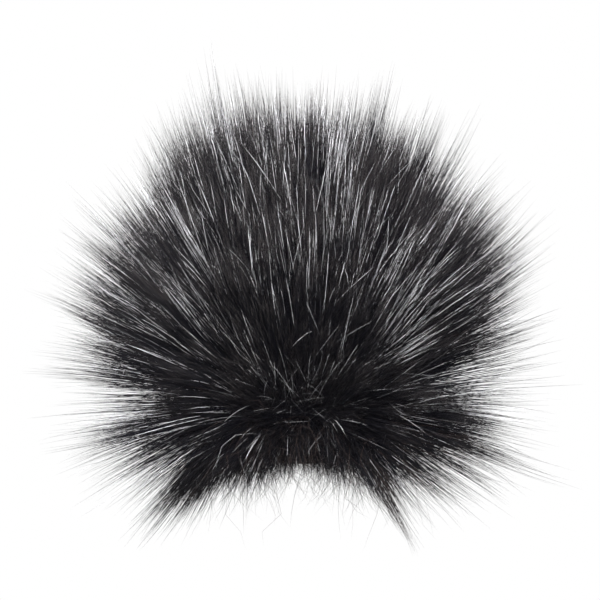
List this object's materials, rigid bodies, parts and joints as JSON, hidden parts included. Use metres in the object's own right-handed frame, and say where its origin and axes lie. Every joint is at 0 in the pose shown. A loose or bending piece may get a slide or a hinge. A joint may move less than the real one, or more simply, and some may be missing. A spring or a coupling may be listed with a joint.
{
  "type": "lavalier microphone with fur wind muff",
  "caption": "Small cylindrical clip-on microphone head inside a long-pile black fur wind muff that slips over its grille and stops on the shoulder of its clip seat.",
  "frame": {"origin": "on the microphone's axis at the rear end of the clip seat's straight wall, 0.3 mm in front of the rear face", "axes": "+Z along the microphone's axis towards its sound inlet, -Y towards the front fur panel, X along the line of the muff's side seams"},
  "size_m": [0.057, 0.057, 0.0505],
  "materials": {
    "black_metal": "satin black coating",
    "rubber": "matt",
    "can_metal": "drawn, satin",
    "board": "green solder resist",
    "chip": "moulded",
    "ceramic": "fired ceramic with tinned ends",
    "solder": "bright solder",
    "holder_plastic": "moulded",
    "brass": "satin",
    "film": "metallised film",
    "felt": "felt",
    "mesh_steel": "fine woven wire, darkened",
    "foam": "open-cell foam",
    "knit": "knitted backing",
    "elastic": "braided elastic cord",
    "thread": "sewing thread",
    "fur": "long glossy synthetic fur with grey sheen"
  },
  "bodies": {
    "microphone": {"barrel": "black_metal", "cable_gland": "rubber", "capsule_sleeve": "rubber", "capsule_can": "can_metal", "capsule_board": "board", "jfet": "chip", "board_capacitors": "ceramic", "solder_terminals": "solder", "capsule_holder": "holder_plastic", "gate_ring": "brass", "backplate": "brass", "spacer_ring": "holder_plastic", "diaphragm": "film", "diaphragm_ring": "brass", "acoustic_felt": "felt"},
    "grille_head": {"grille_cap": "black_metal", "grille_mesh": "mesh_steel"},
    "wind_muff": {"foam_core": "foam", "mouth_hem": "knit", "elastic_cord": "elastic", "front_backing": "knit", "rear_backing": "knit", "seam_thread": "thread", "front_pile": "fur", "rear_pile": "fur"}
  },
  "joints": [
    {"name": "cap_pull", "type": "slide", "parent": "microphone", "child": "grille_head", "axis": [0, 0, 1], "range_m": [0, 0.008]},
    {"name": "muff_pull", "type": "slide", "parent": "grille_head", "child": "wind_muff", "axis": [0, 0, 1], "range_m": [0, 0.03]}
  ]
}
